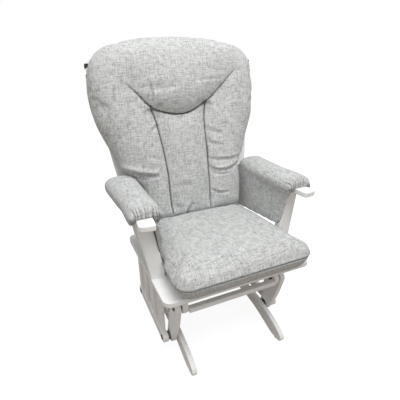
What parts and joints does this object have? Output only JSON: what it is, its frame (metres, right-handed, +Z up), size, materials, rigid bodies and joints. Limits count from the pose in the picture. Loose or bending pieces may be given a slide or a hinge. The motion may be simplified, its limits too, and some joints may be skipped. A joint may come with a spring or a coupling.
{
  "type": "glider nursery chair",
  "caption": "White wooden gliding nursery chair on a link-hung base, with grey boxed seat cushion, shaped back cushion and padded arm sleeves.",
  "frame": {"origin": "centre of the chair's bounding box on the floor", "axes": "+Z up, the chair faces -Y, +X is on the right of someone facing it from the front"},
  "size_m": [0.676, 0.628, 1.0732],
  "materials": {
    "white_wood": "satin white paint",
    "upholstery": "light grey heathered linen-look weave",
    "deck": "woven black",
    "tie": "black elastic webbing",
    "steel": "dull zinc",
    "glide": "matt"
  },
  "bodies": {
    "base": {"base_runner_left": "white_wood", "base_runner_right": "white_wood", "base_rail_left": "white_wood", "base_rail_right": "white_wood", "base_upright_left": "white_wood", "base_upright_right": "white_wood", "base_stretcher_front": "white_wood", "base_stretcher_rear": "white_wood", "floor_glide_front_left": "glide", "floor_glide_front_right": "glide", "floor_glide_rear_left": "glide", "floor_glide_rear_right": "glide", "pivot_bolt_upper_front_left": "steel", "pivot_bolt_upper_front_right": "steel", "pivot_bolt_upper_rear_left": "steel", "pivot_bolt_upper_rear_right": "steel"},
    "front_links": {"link_front_left": "white_wood", "link_front_right": "white_wood"},
    "rear_links": {"link_rear_left": "white_wood", "link_rear_right": "white_wood"},
    "carriage": {"pivot_bolt_lower_front_left": "steel", "pivot_bolt_lower_front_right": "steel", "pivot_bolt_lower_rear_left": "steel", "pivot_bolt_lower_rear_right": "steel", "carriage_rail_left": "white_wood", "carriage_rail_right": "white_wood", "side_slat_1_left": "white_wood", "side_slat_2_left": "white_wood", "side_slat_3_left": "white_wood", "side_slat_4_left": "white_wood", "side_slat_1_right": "white_wood", "side_slat_2_right": "white_wood", "side_slat_3_right": "white_wood", "side_slat_4_right": "white_wood", "seat_board": "white_wood", "seat_deck": "deck", "arm_left": "white_wood", "arm_right": "white_wood", "arm_post_left": "white_wood", "arm_post_right": "white_wood", "back_upright_left": "white_wood", "back_upright_right": "white_wood", "back_crest": "white_wood", "back_lower_rail": "white_wood", "back_slat_1": "white_wood", "back_slat_2": "white_wood", "back_slat_3": "white_wood", "back_slat_4": "white_wood", "cushion_tie_left_1": "tie", "cushion_tie_left_2": "tie", "cushion_tie_right_1": "tie", "cushion_tie_right_2": "tie", "seat_cushion": "upholstery", "back_cushion": "upholstery", "arm_pad_left": "upholstery", "arm_pad_right": "upholstery"}
  },
  "joints": [
    {"name": "rear_link_swing", "type": "hinge", "parent": "base", "child": "rear_links", "pos_m": [0, 0.183, 0.244], "axis": [1, 0, 0], "range_deg": [-9, 9]},
    {"name": "carriage_swing", "type": "hinge", "parent": "rear_links", "child": "carriage", "pos_m": [0, 0.156, 0.0712], "axis": [1, 0, 0], "range_deg": [-12.5, 12.5]},
    {"name": "front_link_swing", "type": "hinge", "parent": "base", "child": "front_links", "pos_m": [0, -0.191, 0.244], "axis": [1, 0, 0], "range_deg": [-9.3, 9.3]}
  ],
  "couplings": [
    {"joint": "carriage_swing", "follows": "rear_link_swing", "ratio": -1.3208},
    {"joint": "front_link_swing", "follows": "rear_link_swing", "ratio": 1.0064}
  ]
}
